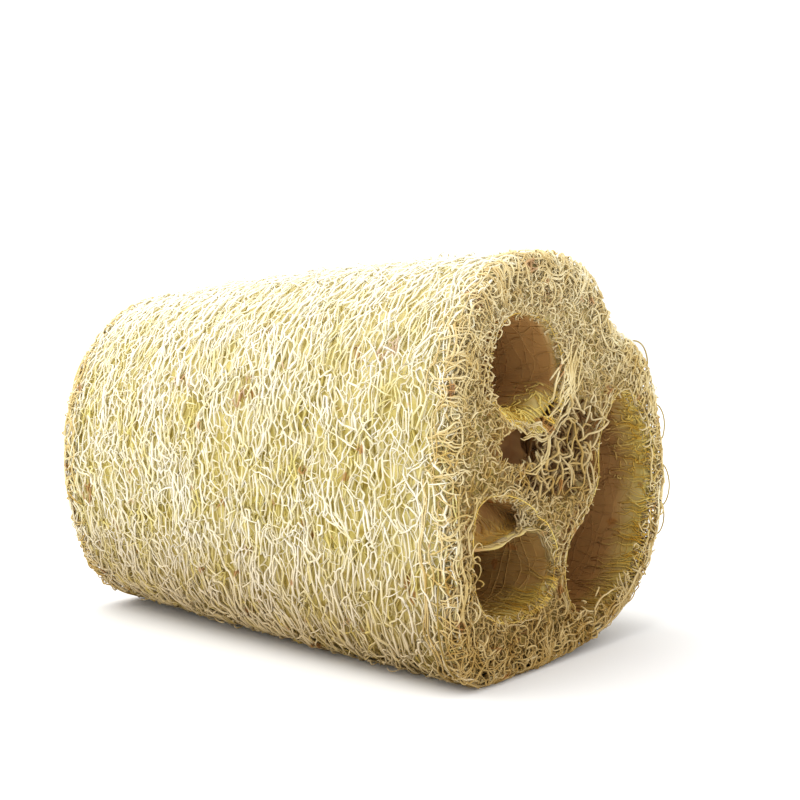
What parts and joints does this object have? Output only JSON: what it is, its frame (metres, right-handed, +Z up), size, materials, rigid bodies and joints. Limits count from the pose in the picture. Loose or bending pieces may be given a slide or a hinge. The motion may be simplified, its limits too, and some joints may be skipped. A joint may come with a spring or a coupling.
{
  "type": "natural loofah sponge",
  "caption": "Short length of dried loofah fibre, lobed and slightly tapering, with seed chambers open at both cut ends.",
  "frame": {"origin": "middle of the underside of the part's box, on the surface it lies on", "axes": "+X along the length towards the wide cut end, +Z up, +Y across towards the side with the large chamber"},
  "size_m": [0.1136, 0.079, 0.0775],
  "materials": {
    "loofah_fibre": "dry matt straw-coloured plant fibre"
  },
  "bodies": {
    "root": {"loofah_sponge": "loofah_fibre"}
  },
  "joints": []
}
